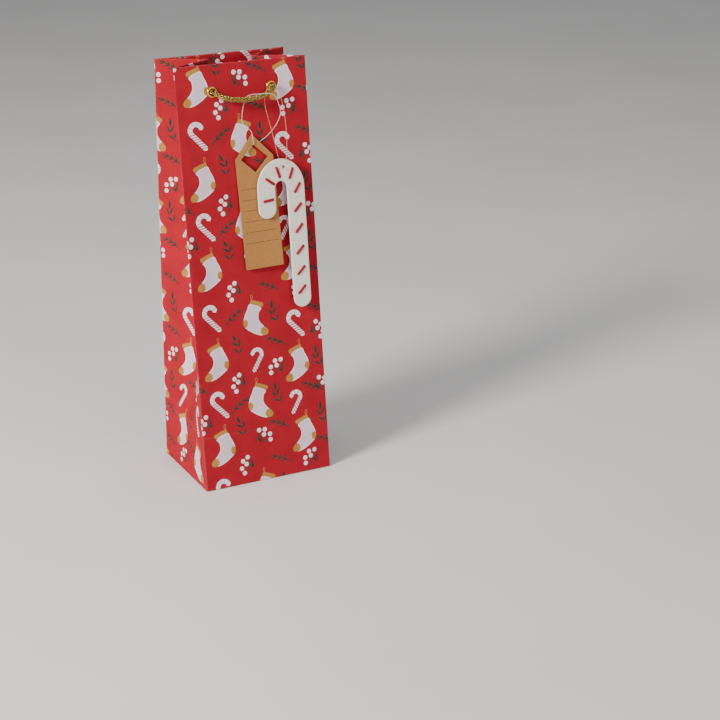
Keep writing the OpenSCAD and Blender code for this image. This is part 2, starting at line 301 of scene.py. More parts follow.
def stockingMotif():
    leg = softOutline([
        (-6, 8.5), (-4.1, 4.7), (-3.3, 0.4), (-4.1, -3.1), (-6.2, -6.2), (-8.7, -8.6), (-11.4, -10.8),
        (-12.4, -13.2), (-11.6, -15.5), (-8.5, -16.3), (-4, -15.8), (0.8, -13.8), (5.1, -11.2),
        (8.6, -8.5), (10.2, -6.4), (10.9, -3.7), (10.3, -0.5), (9, 3.6), (6.8, 8), (4, 12.7)])
    cuff = [(-8.6, 11), (-7.2, 8.7), (-1.4, 10.9), (4.4, 13), (3.2, 16.3), (-2.4, 14.5), (-7.8, 12.4)]
    loop = stroke([(2.4, 16), (1.4, 18.4), (1.9, 20.6), (3, 20.4), (3.2, 18.4), (2.7, 16.2)], 0.45)
    return [(leg, None, white), (insetBy(leg, 0.9), None, knit), (disc(-9.2, -12.7, 4.2), leg, ochre),
            (oval(8.9, -4.2, 2.5, 3.6), leg, ochre), (cuff, None, ochre), (loop, None, ochre)]


def caneMotif(bend, start, end, tail, width):
    # thin bands straight across the hook, wide slanted ones down the stick
    hook = arc(*bend, start, end, 13)
    stick = [tuple(np.array(hook[-1]) * (1 - t) + np.array(tail) * t) for t in (0.2, 0.4, 0.6, 0.8, 1)]
    p = np.array(hook + stick)
    body = stroke(p, width)
    along = np.concatenate([[0], np.cumsum(np.linalg.norm(np.diff(p, axis=0), axis=1))])
    hookEnd = along[len(hook) - 1]
    shapes = [(body, None, white)]
    for s in [*np.arange(1.8, hookEnd, 3.6), *np.arange(hookEnd + 1.3, along[-1], 2.6)]:
        at = np.array([np.interp(s, along, p[:, i]) for i in (0, 1)])
        ahead = np.array([np.interp(s + 0.5, along, p[:, i]) for i in (0, 1)]) - at
        angle = math.atan2(ahead[1], ahead[0]) + math.radians(90 if s < hookEnd else 55)
        reach = np.array([math.cos(angle), math.sin(angle)]) * width * 0.66
        shapes.append((stroke([at - reach, at, at + reach], 0.4 if s < hookEnd else 0.8), body, stripe))
    return shapes


def berryMotif():
    heads = [(-1.5, 6.9), (3.1, 4), (-0.1, 0.8), (4.6, -2.5), (2.2, -7.1)]
    bends = [(-3.8, 5), (-1.5, 2.4), (-3.4, -0.6), (-1, -2.2), (-1, -6.3)]
    shapes = [(stroke([(-6.2, -1.8), b, h], 0.6), None, green) for b, h in zip(bends, heads)]
    shapes.append((stroke([(-6.6, -2.4), (-5.8, 2), (-4.5, 6.3)], 1.5, 0.35), None, green))
    for x, y in heads:
        shapes += [(disc(x, y, 2.05), None, white), (disc(x, y, 0.4, 6), None, blush)]
    return shapes


def pineMotif():
    shapes = [(stroke([(-9.6, 3.8), (-3.5, 2.2), (3.5, -1), (9.8, -5.2)], 0.9), None, green)]
    for k, (x, y) in enumerate([(-4.5, 2.5), (0.4, 0.4), (5, -1.9)]):
        for dx, dy in ((-1.2 - 0.4 * k, 2.9 + k), (-4.4 - 0.9 * k, -1.5 + 0.25 * k)):
            needle = [(x, y), (x + dx / 2, y + dy / 2), (x + dx, y + dy)]
            shapes.append((stroke(needle, 1.5, 0.35), None, green))
    return shapes


def leaf(a, b, width):
    u = np.subtract(b, a)
    across = np.array([-u[1], u[0]]) / np.linalg.norm(u) * width
    edge = [(0, 0), (0.3, 0.5), (0.6, 0.45), (1, 0), (0.6, -0.45), (0.3, -0.5)]
    return [tuple(np.add(a, u * t + across * w)) for t, w in edge]


def sprigMotif(blades, tail=None):
    shapes = [(leaf(*blade), None, green) for blade in blades]
    if tail:
        shapes.append((stroke(tail, 0.6), None, green))
    return shapes


motifs = {
    "stocking": stockingMotif(),
    "bigCane": caneMotif((-1.2, 4.4, 5.1), 15, 215, (6.8, -11.7), 4.2),
    "smallCane": caneMotif((0.7, 4.5, 4.3), 172, -25, (-3, -9.8), 3.6),
    "berries": berryMotif(),
    "pine": pineMotif(),
    "chevron": sprigMotif([((-1.1, 2), (-1.5, 10.7), 2.6), ((-1.4, -3), (-5.1, 3.4), 1.9),
                           ((-1.4, -3), (2.9, 5.1), 1.9), ((2.8, -8.2), (-4.4, -4.6), 1.9),
                           ((2.8, -8.2), (4.2, -1.5), 1.9)], [(2.8, -8.2), (3.5, -9.2), (4, -10.2)]),
    "sprig": sprigMotif([((-1, 3), (-4.2, 9.7), 2.6), ((2.1, -1.9), (-5.9, 3.1), 2),
                         ((2.1, -1.9), (2.3, 6), 1.9), ((1.1, -7.9), (-4.3, -2.6), 1.9),
                         ((1.1, -7.9), (5.4, -2.5), 1.6)]),
}
# one repeat of the print: motif, place across and up, turn in degrees, mirrored
printRepeat = (156, 156)
printPlan = [
    ("stocking", -41, 37, 0, 0), ("bigCane", -42, 76, 0, 0), ("stocking", -41, 114, 0, 0),
    ("bigCane", -43, 153, 0, 0), ("berries", -21, 17, 0, 1), ("sprig", -23, 53, 0, 0),
    ("pine", -23, 72, 12, 1), ("berries", -23, 92, 0, 1), ("sprig", -21, 126, 0, 0),
    ("pine", -22, 151, 12, 1), ("berries", -57, 60, 0, 1), ("pine", -60, 92, 0, 0),
    ("berries", -2, 41, 30, 0), ("stocking", -4, 73, -2, 1), ("smallCane", -4, 110, 0, 0),
    ("stocking", -3, 147, -2, 1), ("pine", 12, 17, 0, 0), ("pine", 13, 49, 0, 0),
    ("chevron", 13, 77, 0, 0), ("berries", 14, 101, -28, 1), ("pine", 15, 124, 0, 0),
    ("chevron", 15, 150, 0, 0), ("stocking", 37, 36, 0, 0), ("smallCane", 30, 66, 0, 0),
    ("stocking", 35, 101, 0, 0), ("bigCane", 35, 137, 0, 0), ("berries", 41, 13, -25, 1),
    ("pine", 46, 78, 0, 0), ("chevron", 55, 52, 0, 0), ("chevron", 54, 104, 0, 0),
    ("berries", 56, 128, 0, 0), ("pine", 55, 148, 0, 0), ("stocking", 76, 20, -2, 1),
    ("bigCane", 75, 58, 0, 0), ("stocking", 76, 96, 0, 0), ("smallCane", 76, 133, 0, 0),
    ("berries", 58, 78, 20, 0), ("pine", 58, 26, 0, 0),
]


def placed(name, x, y, turn, mirrored):
    c, s = math.cos(math.radians(turn)), math.sin(math.radians(turn))
    flip = -1 if mirrored else 1

    def move(poly):
        if poly is None:
            return None
        return [(x + c * flip * a - s * b, y + s * flip * a + c * b) for a, b in poly]

    return [(move(poly), move(clip), ink) for poly, clip, ink in motifs[name]]


def printShapes(low, high):
    # every printed shape that reaches the area, in painting order
    reach = 23
    shapes = []
    for name, x, y, turn, mirrored in printPlan:
        for i in range(-3, 4):
            for j in range(-1, 4):
                px, py = x + i * printRepeat[0], y + j * printRepeat[1]
                if low[0] - reach < px < high[0] + reach and low[1] - reach < py < high[1] + reach:
                    shapes += placed(name, px, py, turn, mirrored)
    return shapes


def within(points, poly):
    p = np.array(poly)
    inBox = ((points > p.min(0)) & (points < p.max(0))).all(1)
    hit = np.zeros(len(points), bool)
    q = points[inBox]
    count = np.zeros(len(q), bool)
    for a, b in zip(p, np.roll(p, -1, axis=0)):
        if a[1] != b[1]:
            spans = (a[1] > q[:, 1]) != (b[1] > q[:, 1])
            count ^= spans & (q[:, 0] < (b[0] - a[0]) * (q[:, 1] - a[1]) / (b[1] - a[1]) + a[0])
    hit[inBox] = count
    return hit


def flatCut(outline, holes, shapes, rows, columns):
    # cuts the flat outline along every shape; gives its points, triangles and inks
    verts, edges = [], []

    def addLoop(loop):
        start = len(verts)
        verts.extend(Vector(p) for p in loop)
        edges.extend((start + k, start + (k + 1) % len(loop)) for k in range(len(loop)))

    for loop in [outline, *holes]:
        addLoop(loop)
    for poly, _, _ in shapes:
        addLoop(poly)
    verts.extend(Vector((x, y)) for x in columns for y in rows)
    points, _, faces, *_ = delaunay_2d_cdt(verts, edges, [], 0, 1e-4)
    points = np.array([tuple(p) for p in points])
    tris = np.array([f for f in faces if len(f) == 3])
    middle = points[tris].mean(1)
    keep = within(middle, outline)
    for hole in holes:
        keep &= ~within(middle, hole)
    a, b, c = (points[tris[:, k]] for k in range(3))
    area = (b[:, 0] - a[:, 0]) * (c[:, 1] - a[:, 1]) - (b[:, 1] - a[:, 1]) * (c[:, 0] - a[:, 0])
    keep &= abs(area) > 1e-7
    tris[area < 0] = tris[area < 0][:, ::-1]
    tris, middle = tris[keep], middle[keep]
    ink = np.zeros(len(tris), int)
    for poly, clip, colour in shapes:
        hit = within(middle, poly)
        if clip is not None:
            hit &= within(middle, clip)
        ink[hit] = colour
    used, tris = np.unique(tris, return_inverse=True)
    return points[used], tris.reshape(-1, 3), ink


def thickened(points, tris, inkOf, thickness, innerInk):
    # closes a surface into a sheet: the second face lies thickness behind the first
    n = len(points)
    a, b, c = (points[tris[:, k]] for k in range(3))
    faceNormal = np.cross(b - a, c - a)
    normal = np.zeros_like(points)
    for k in range(3):
        np.add.at(normal, tris[:, k], faceNormal)
    normal /= np.maximum(np.linalg.norm(normal, axis=1), 1e-12)[:, None]
    edges = {}
    for t, tri in enumerate(tris.tolist()):
        for k in range(3):
            edges[(tri[k], tri[(k + 1) % 3])] = t
    rim = [(e, t) for e, t in edges.items() if (e[1], e[0]) not in edges]
    faces = tris.tolist() + (tris[:, ::-1] + n).tolist()
    ink = list(inkOf) + [innerInk if innerInk is not None else k for k in inkOf]
    for (i, j), t in rim:
        faces.append([j, i, i + n, j + n])
        ink.append(inkOf[t])
    return np.concatenate([points, points - normal * thickness]), faces, ink


def meshPiece(name, parts, materials):
    # joins parts, each of points in millimetres, faces, inks and wear, into one piece
    verts, faces, ink, wear = [], [], [], []
    for p, f, k, w in parts:
        faces += [[i + len(verts) for i in face] for face in f]
        verts += (np.asarray(p) * mm).tolist()
        ink += list(k)
        wear += list(w)
    mesh = bpy.data.meshes.new(name)
    mesh.from_pydata(verts, [], faces)
    for mat in materials:
        mesh.materials.append(mat)
    mesh.polygons.foreach_set("material_index", np.array(ink, np.int32))
    mesh.polygons.foreach_set("use_smooth", np.ones(len(faces), bool))
    mesh.attributes.new("wear", "FLOAT", "POINT").data.foreach_set("value", np.array(wear, np.float32))
    mesh.update()
    mesh.set_sharp_from_angle(angle=math.radians(42))
    piece = bpy.data.objects.new(name, mesh)
    bpy.context.scene.collection.objects.link(piece)
    return piece


# the bag's walls
def ease(t):
    t = np.clip(t, 0, 1)
    return t * t * (3 - 2 * t)


def onPanel(u, v, n, tilt, way):
    # way -1 is the front, 1 the back; n goes inwards
    y = way * (halfD - v * math.sin(tilt) - n * math.cos(tilt))
    return np.stack([u, y, v * math.cos(tilt) - n * math.sin(tilt)], 1)


def rounded(u):
    # turns the last of the width round the folded edge: place across and depth
    r = bag["foldRadius"]
    over = np.clip(np.abs(u) - (halfW - r), 0, r) / r * (math.pi / 4)
    inner = np.minimum(np.abs(u), halfW - r)
    return np.sign(u) * (inner + r * np.sin(over)), r * (1 - np.cos(over))


def groove(v, at, width=1.6, depth=0.3):
    return depth * np.exp(-(((v - at) / width) ** 2))


def ripple(a, b, seed):
    return (np.sin(a / 23 + seed) * np.sin(b / 41 + 2 * seed) + 0.6 * np.sin(a / 11 - seed + b / 29)) / 1.6


def frontWall(u, v):
    x, n = rounded(u)
    stay = ease((halfW - np.abs(u)) / 22) * ease((v - creaseH) / 50) * ease((frontLen - 62 - v) / 60)
    n = n + groove(v, creaseH) + stay * (bag["hollow"] + 0.5 * ripple(u, v, 1.3)) * 0.7
    return onPanel(x, v, n, frontTilt, -1)


def backWall(u, v):
    x, n = rounded(-u + printBack)
    stay = ease((halfW - np.abs(x)) / 25) * ease((v - 5) / 60) * ease((backLen - 60 - v) / 60)
    n = n - stay * (0.5 + 0.5 * ripple(x, v, 2.1)) * 0.9
    return onPanel(x, v, n, backTilt, 1)


def pleatDepth(z):
    # deepens fast above the feet
    up = np.clip((z - creaseH) / (height - creaseH), 0, 1)
    return bag["footDent"] + (pleatIn - bag["footDent"]) * up ** 0.6


def sideWall(s, z, side):
    # s runs from the front edge to the back edge of a side, which folds in at its middle
    tuck = bag["foldRadius"] * (1 - math.sqrt(0.5))
    frontY = -halfD + z * math.tan(frontTilt) + tuck
    backY = halfD - z * math.tan(backTilt) - tuck
    part = s / (2 * halfD)
    away = np.abs(2 * part - 1)  # 1 at the panels, 0 at the middle crease
    midY = (frontY + backY) / 2
    # diagonal creases below the middle one
    foot = bag["footDent"] * np.minimum(np.clip(z / creaseH, 0, 1), 1 - away)
    x = halfW - tuck - np.where(z < creaseH, foot, pleatDepth(z) * (1 - away))
    edgeY = np.where(part < 0.5, frontY, backY)
    y = midY + (edgeY - midY) * away
    swell = bag["bulge"] * np.sin(math.pi * away) * ease((z - creaseH) / 90) * ease((height - z) / 60)
    swell = swell + 0.25 * ripple(s * 2, z, 3.3) * np.sin(math.pi * away) * ease((height - z) / 40)
    dent = groove(z, creaseH, 1.8, 0.3) * ease((1 - away) * 6)
    return np.stack([side * (x + swell * 0.6 - dent), y, z], 1)


def inwardOf(surface, u, v, step=0.2):
    du = surface(u + step, v) - surface(u - step, v)
    dv = surface(u, v + step) - surface(u, v - step)
    n = -np.cross(du, dv)
    return n / np.linalg.norm(n, axis=1)[:, None]


def rect(u0, u1, v0, v1):
    return [(u0, v0), (u1, v0), (u1, v1), (u0, v1)]


def rowsOf(low, high, extra=()):
    count = max(2, int((high - low) / bag["grid"]))
    inner = np.linspace(low, high, count + 1)[1:-1]
    close = [e for e in extra if low < e < high]
    return sorted([x for x in inner if all(abs(x - e) > 0.7 for e in close)] + close)


def nearEdges(u0, u1):
    return [u0 + 0.35, u0 + 0.7, u0 + 1.1, u0 + 2, u1 - 2, u1 - 1.1, u1 - 0.7, u1 - 0.35]


def wallPart(surface, u0, u1, v0, v1, wearOf, holes=(), extraV=(), thickness=0.36):
    shapes = printShapes((u0, v0), (u1, v1))
    flat, tris, ink = flatCut(rect(u0, u1, v0, v1), list(holes), shapes, rowsOf(v0, v1, extraV),
                              rowsOf(u0, u1, nearEdges(u0, u1)))
    points = surface(flat[:, 0], flat[:, 1])
    wear = wearOf(flat[:, 0], flat[:, 1])
    verts, faces, inkAll = thickened(points, tris, ink, thickness, inside)
    return verts, faces, inkAll, np.concatenate([wear, wear])


def hemPart(surface, u0, u1, top, thick, wearOf, deep, holes=()):
    # the paper turned over the top edge and glued down inside
    def thickAt(u):
        return 0.4 + (thick - 0.4) * ease(np.minimum(u - u0, u1 - u) / 6)

    turn = math.pi * thick / 2
    shapes = printShapes((u0, top), (u1, top + turn + deep))
    rows = sorted(set([top + turn * k / 8 for k in range(1, 9)] + rowsOf(top + turn, top + turn + deep)))
    turnedHoles = [[(a, 2 * top + turn - b) for a, b in h] for h in holes]
    flat, tris, ink = flatCut(rect(u0, u1, top, top + turn + deep), turnedHoles, shapes, rows,
                              rowsOf(u0, u1, nearEdges(u0, u1)))
    u, w = flat[:, 0], flat[:, 1] - top
    t = thickAt(u)
    angle = np.clip(w / turn, 0, 1) * math.pi
    n = t / 2 * (1 - np.cos(angle))
    v = top - t / 2 + t / 2 * np.sin(angle) - np.clip(w - turn, 0, None)
    base = surface(u, v)
    points = base + inwardOf(surface, u, v) * n[:, None]
    wear = wearOf(u, w)
    verts, faces, inkAll = thickened(points, tris, ink, 0.3, red)
    return verts, faces, inkAll, np.concatenate([wear, wear])


def edgeWear(*lines):
    # wear is strongest on a line across or up the sheet and fades beside it
    def wear(u, v):
        total = np.zeros(len(u))
        for axis, at, width, strength in lines:
            total = np.maximum(total, strength * np.exp(-((((u, v)[axis] - at) / width) ** 2)))
        return total
    return wear


eyeLow, eyeHigh = nodeBox("eyelet_front_right")
eyeX = (eyeLow[0] + eyeHigh[0]) / 2
eyeDrop = 23  # from a panel's top edge to its eyelets
eyeHole = 2.85
frontEyeV = frontLen - eyeDrop
backEyeV = backLen - eyeDrop

# front
half = bag["hemThick"] / 2
frontWear = edgeWear((0, -halfW, 0.6, 0.7), (0, halfW, 0.6, 0.7), (1, creaseH, 0.8, 0.12), (1, 0, 0.8, 0.4))
eyeHoles = [disc(s * eyeX, frontEyeV, eyeHole, 24) for s in (-1, 1)]
topRow = [frontLen - half - d for d in (0.5, 1.5, 3)]
upper = wallPart(frontWall, -halfW, halfW, creaseH, frontLen - half, frontWear, eyeHoles,
                 [creaseH + d for d in (0.5, 1.2, 2.2, 3.5)] + topRow)
hemWear = edgeWear((1, half * 1.5, 1.0, 0.45), (0, -halfW, 0.6, 0.6), (0, halfW, 0.6, 0.6))
upperHem = hemPart(frontWall, -halfW, halfW, frontLen, bag["hemThick"], hemWear, bag["hemDepth"], eyeHoles)
frontUpper = meshPiece("front_upper_sheet", [upper, upperHem], inks)
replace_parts(frontUpper, "front_upper_panel", "front_hem")
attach(frontUpper, "front_upper")
lower = wallPart(frontWall, -halfW, halfW, 0.2, creaseH, frontWear, (),
                 [0.8, 1.6, 3] + [creaseH - d for d in (0.5, 1.2, 2.2, 3.5)])
frontLower = meshPiece("front_lower_sheet", [lower], inks)
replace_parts(frontLower, "front_lower_panel")
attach(frontLower, "front_lower")
print("front walls made")

# back, whose print carries on from the left side
backU = (printBack - halfW, printBack + halfW)
backWear = edgeWear((0, backU[0], 0.6, 0.7), (0, backU[1], 0.6, 0.7),
                    (1, creaseH, 0.7, 0.1), (1, 0, 0.8, 0.4))
backHoles = [disc(printBack + s * eyeX, backEyeV, eyeHole, 24) for s in (-1, 1)]
backPart = wallPart(backWall, *backU, 0.05, backLen - half, backWear, backHoles, [1, 2.5, creaseH] + topRow)
backHemWear = edgeWear((1, half * 1.5, 1.0, 0.45), (0, backU[0], 0.6, 0.6), (0, backU[1], 0.6, 0.6))
backHem = hemPart(backWall, *backU, backLen, bag["hemThick"], backHemWear, bag["hemDepth"], backHoles)
backSheet = meshPiece("back_sheet", [backPart, backHem], inks)
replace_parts(backSheet, "back_panel", "back_hem")
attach(backSheet, "back")
print("back wall made")


# sides: the leaves slant in from the panels' edges to the middle crease, the feet flatten
def sideSurface(side, start):
    # start is where the side begins in the print; the print runs away from the front
    def surface(u, v):
        z = v * height / frontLen
        return sideWall(side * (u - start), z, side)
    return surface


sideTop = frontLen
sideHalf = bag["sideHemThick"] / 2
for side, word in ((-1, "left"), (1, "right")):
    start = side * halfW
    surface = sideSurface(side, start)
    creaseV = creaseH * frontLen / height
    for s0, s1, what, body in ((0, halfD, "front", "front_upper"), (halfD, 2 * halfD, "rear", "back")):
        u0, u1 = sorted((start + side * s0, start + side * s1))
        wear = edgeWear((0, u0, 0.6, 0.6), (0, u1, 0.6, 0.6), (1, creaseV, 0.8, 0.3))
        sheet = wallPart(surface, u0, u1, creaseV, sideTop - sideHalf, wear, (),
                         [creaseV + d for d in (0.6, 1.5, 3)] + [sideTop - 1.5, sideTop - 3])
        hem = hemPart(surface, u0, u1, sideTop, bag["sideHemThick"],
                      edgeWear((1, sideHalf * 1.5, 0.9, 0.45)), bag["hemDepth"])
        piece = meshPiece(f"pleat_{what}_{word}_sheet", [sheet, hem], inks)
        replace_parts(piece, f"pleat_{what}_{word}")
        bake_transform(piece)
    u0, u1 = sorted((start, start + side * 2 * halfD))
    footWear = edgeWear((0, u0, 0.6, 0.6), (0, u1, 0.6, 0.6), (1, creaseV, 0.8, 0.3), (1, 0, 0.8, 0.4))
    foot = wallPart(surface, u0, u1, 1.3, creaseV, footWear, (), [creaseV - d for d in (0.6, 1.5, 3)])
    piece = meshPiece(f"pleat_foot_{word}_sheet", [foot], inks)
    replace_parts(piece, f"pleat_foot_{word}")
    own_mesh(piece)
    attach(piece, "back")
print("sides made")


# bottom
def underneath(u, v):
    return np.stack([u, -v, np.full(len(u), 0.0)], 1)


outerLow, outerHigh = nodeBox("bottom_outer_flap")
flap = wallPart(underneath, -halfW + 0.3, halfW - 0.3, -outerHigh[1], -outerLow[1],
                edgeWear((0, -halfW, 0.8, 0.5), (0, halfW, 0.8, 0.5), (1, halfD, 0.8, 0.5)))
bottomSheet = meshPiece("bottom_outer_sheet", [flap], inks)
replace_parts(bottomSheet, "bottom_outer_flap")
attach(bottomSheet, "bottom")


def dress(node, mat):
    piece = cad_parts[node]
    piece.data.materials.clear()
    piece.data.materials.append(mat)


for node in ("bottom_inner_flap", "dust_flap_left", "dust_flap_right", "side_seam_lap"):
    dress(node, inks[inside])
for node in ("front_card", "back_card"):
    dress(node, board)
print("bottom made")


# geometry node helpers
def newTree(name, sizes):
    tree = bpy.data.node_groups.new(name, "GeometryNodeTree")
    tree.interface.new_socket(name="Geometry", in_out="INPUT", socket_type="NodeSocketGeometry")
    for key, value in sizes.items():
        kind = {int: "NodeSocketInt", float: "NodeSocketFloat"}.get(type(value), "NodeSocketMaterial")
        tree.interface.new_socket(name=key, in_out="INPUT", socket_type=kind)
    tree.interface.new_socket(name="Geometry", in_out="OUTPUT", socket_type="NodeSocketGeometry")
    return tree, tree.nodes.new("NodeGroupInput"), tree.nodes.new("NodeGroupOutput")


def put(tree, kind, inputs=None, **properties):
    node = tree.nodes.new(kind)
    for key, value in properties.items():
        setattr(node, key, value)
    for key, value in (inputs or {}).items():
        if hasattr(value, "is_linked"):
            tree.links.new(value, node.inputs[key])
        else:
            node.inputs[key].default_value = value
    return node


def calc(tree, operation, a, b=0.0, c=0.0):
    return put(tree, "ShaderNodeMath", {0: a, 1: b, 2: c}, operation=operation).outputs[0]


def vectorCalc(tree, operation, a, b):
    key = "Scale" if operation == "SCALE" else 1
    return put(tree, "ShaderNodeVectorMath", {0: a, key: b}, operation=operation).outputs[0]


def applied(name, source, tree, sizes, matrix=None):
    # runs a node tree over an object and keeps the result as a plain mesh
    modifier = source.modifiers.new(name, "NODES")
    modifier.node_group = tree
    for item in tree.interface.items_tree:
        if item.in_out == "INPUT" and item.name in sizes:
            modifier[item.identifier] = sizes[item.name]
    graph = bpy.context.evaluated_depsgraph_get()
    mesh = bpy.data.meshes.new_from_object(source.evaluated_get(graph), depsgraph=graph)
    mesh.name = name
    if matrix is not None:
        mesh.transform(matrix)
    bpy.data.objects.remove(source)
    piece = bpy.data.objects.new(name, mesh)
    bpy.context.scene.collection.objects.link(piece)
    return piece


def cordTree(sizes):
    # strands that run round a core: plaited over and under each other, or twisted one way
    tree, given, out = newTree("strandedCord", sizes)
    g = given.outputs
    line = put(tree, "GeometryNodeResampleCurve",
               {"Curve": g["Geometry"], "Length": g["Spacing"]}, mode="LENGTH")
    line = put(tree, "GeometryNodeSetCurveNormal", {"Curve": line.outputs[0]}, mode="MINIMUM_TWIST")
    copies = put(tree, "GeometryNodeDuplicateElements", {"Geometry": line.outputs[0], "Amount": g["Strands"]},
                 domain="SPLINE")
    number = copies.outputs["Duplicate Index"]
    odd = calc(tree, "MULTIPLY", calc(tree, "MODULO", number, 2.0), g["Both Ways"])
    way = calc(tree, "MULTIPLY_ADD", odd, -2.0, 1.0)
    length = put(tree, "GeometryNodeSplineParameter").outputs["Length"]
    turns = calc(tree, "MULTIPLY", calc(tree, "DIVIDE", length, g["Pitch"]), 2 * math.pi)
    share = calc(tree, "DIVIDE", calc(tree, "MULTIPLY", number, 2 * math.pi), g["Strands"])
    angle = calc(tree, "MULTIPLY_ADD", turns, way, share)
    swing = calc(tree, "SINE", calc(tree, "MULTIPLY", calc(tree, "MULTIPLY", turns, g["Strands"]), 0.5))
    lift = calc(tree, "MULTIPLY", calc(tree, "MULTIPLY", swing, way), g["Weave"])
    reach = calc(tree, "ADD", g["Lay Radius"], lift)
    normal = put(tree, "GeometryNodeInputNormal").outputs[0]
    tangent = put(tree, "GeometryNodeInputTangent").outputs[0]
    across = vectorCalc(tree, "CROSS_PRODUCT", tangent, normal)
    outwards = calc(tree, "MULTIPLY", reach, calc(tree, "COSINE", angle))
    sideways = calc(tree, "MULTIPLY", reach, calc(tree, "SINE", angle))
    offset = vectorCalc(tree, "ADD", vectorCalc(tree, "SCALE", normal, outwards),
                        vectorCalc(tree, "SCALE", across, sideways))
    strands = put(tree, "GeometryNodeSetPosition", {"Geometry": copies.outputs[0], "Offset": offset})
    ring = put(tree, "GeometryNodeCurvePrimitiveCircle",
               {"Resolution": g["Sides"], "Radius": g["Strand Radius"]})
    strandMesh = put(tree, "GeometryNodeCurveToMesh", {
        "Curve": strands.outputs[0], "Profile Curve": ring.outputs[0], "Fill Caps": True})
    coreRing = put(tree, "GeometryNodeCurvePrimitiveCircle", {"Resolution": 12, "Radius": g["Core Radius"]})
    core = put(tree, "GeometryNodeCurveToMesh", {
        "Curve": line.outputs[0], "Profile Curve": coreRing.outputs[0], "Fill Caps": True})
    # the core is marked for painted shade: seen only between the strands, it is darkened to stand for the
    # shadow there
    shadedCore = put(tree, "GeometryNodeStoreNamedAttribute",
                 {"Geometry": core.outputs[0], "Name": "painted_shade", "Value": 1.0},
                 data_type="FLOAT", domain="POINT")
    both = put(tree, "GeometryNodeJoinGeometry")
    tree.links.new(strandMesh.outputs[0], both.inputs[0])
    tree.links.new(shadedCore.outputs[0], both.inputs[0])
    smooth = put(tree, "GeometryNodeSetShadeSmooth", {"Geometry": both.outputs[0]})
    real = put(tree, "GeometryNodeRealizeInstances", {"Geometry": smooth.outputs[0]})
    done = put(tree, "GeometryNodeSetMaterial", {"Geometry": real.outputs[0], "Material": g["Material"]})
    tree.links.new(done.outputs[0], out.inputs[0])
    return tree


def curveThrough(points, closed=False):
    # points are metres in the bag's frame
    data = bpy.data.curves.new("path", "CURVE")
    data.dimensions = "3D"
    spline = data.splines.new("POLY")
    spline.points.add(len(points) - 1)
    for at, p in zip(spline.points, points):
        at.co = (*p, 1)
    spline.use_cyclic_u = closed
    path = bpy.data.objects.new("path", data)
    bpy.context.scene.collection.objects.link(path)
    return path


def onSheet(points, tilt, way):
    # from across, depth and height on a panel, in millimetres, to the bag's frame in metres
    p = np.array(points, float)
    return onPanel(p[:, 0], p[:, 2], p[:, 1], tilt, way) * mm


def stranded(name, points, sizes, closed=False):
    return applied(name, curveThrough(points, closed), strandTree, sizes)


def joined(name, pieces):
    # makes one piece of several
    with bpy.context.temp_override(active_object=pieces[0], selected_editable_objects=pieces):
        bpy.ops.object.join()
    pieces[0].name = pieces[0].data.name = name
    return pieces[0]


def ball(centre, radius, material, stretch=1.0):
    mesh = bpy.data.meshes.new("ball")
    rings, around = 10, 16
    verts, faces = [(0, 0, radius)], []
    for i in range(1, rings):
        a = math.pi * i / rings
        verts += [(radius * math.sin(a) * math.cos(2 * math.pi * k / around),
                   radius * math.sin(a) * math.sin(2 * math.pi * k / around), radius * math.cos(a))
                  for k in range(around)]
    verts.append((0, 0, -radius))
    for k in range(around):
        m = (k + 1) % around
        faces.append((0, 1 + k, 1 + m))
        for i in range(rings - 2):
            a, b = 1 + i * around, 1 + (i + 1) * around
            faces.append((a + k, b + k, b + m, a + m))
        faces.append((1 + (rings - 2) * around + k, len(verts) - 1, 1 + (rings - 2) * around + m))
    mesh.from_pydata([Vector(v) * stretch + Vector(centre) for v in verts], [], faces)
    mesh.polygons.foreach_set("use_smooth", [True] * len(faces))
    mesh.materials.append(material)
    # marks the whole ball for the core's painted shade, so the cord's end balls render near black
    mesh.attributes.new("painted_shade", "FLOAT", "POINT").data.foreach_set("value", [1.0] * len(verts))
    piece = bpy.data.objects.new("ball", mesh)
    bpy.context.scene.collection.objects.link(piece)
    return piece


# cord handles
cord = {
    "Strands": 8,
    "Both Ways": 1.0,
    "Lay Radius": 1.55 * mm,
    "Strand Radius": 0.66 * mm,
    "Core Radius": 1.35 * mm,
    "Weave": 0.33 * mm,
    "Pitch": 13.0 * mm,
    "Spacing": 0.55 * mm,
    "Sides": 8,
    "Material": goldYarn,
}
cordSag, cordOut, cordPivot = 8.0, 4.5, 3.3
strandTree = cordTree(cord)


def cordLine(v):
    # the loop hangs between its eyelets, and leaves them outwards
    a = np.radians(np.linspace(0, 180, 61))
    s2 = np.sin(a) ** 2
    return np.stack([-eyeX * np.cos(a), -cordPivot - cordOut * (1 - np.abs(np.cos(a)) ** 5),
                     v - cordSag * s2 * (1.6 - 0.6 * s2)], 1)


def makeHandle(name, v, tilt, way, body):
    line = cordLine(v)
    loop = stranded(name, onSheet(line, tilt, way), cord)
    ends = [ball(onSheet([(s * eyeX, -cordPivot, v)], tilt, way)[0], 2.0 * mm, goldYarn) for s in (-1, 1)]
    loop = joined(name, [loop, *ends])
    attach(loop, body)
    return loop


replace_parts(makeHandle("front_cord_loop", frontEyeV, frontTilt, -1, "front_handle"), "front_handle_cord")
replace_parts(makeHandle("back_cord_loop", backEyeV, backTilt, 1, "back_handle"), "back_handle_cord")

knotDepth, knotRadius = 5.4, 4.1


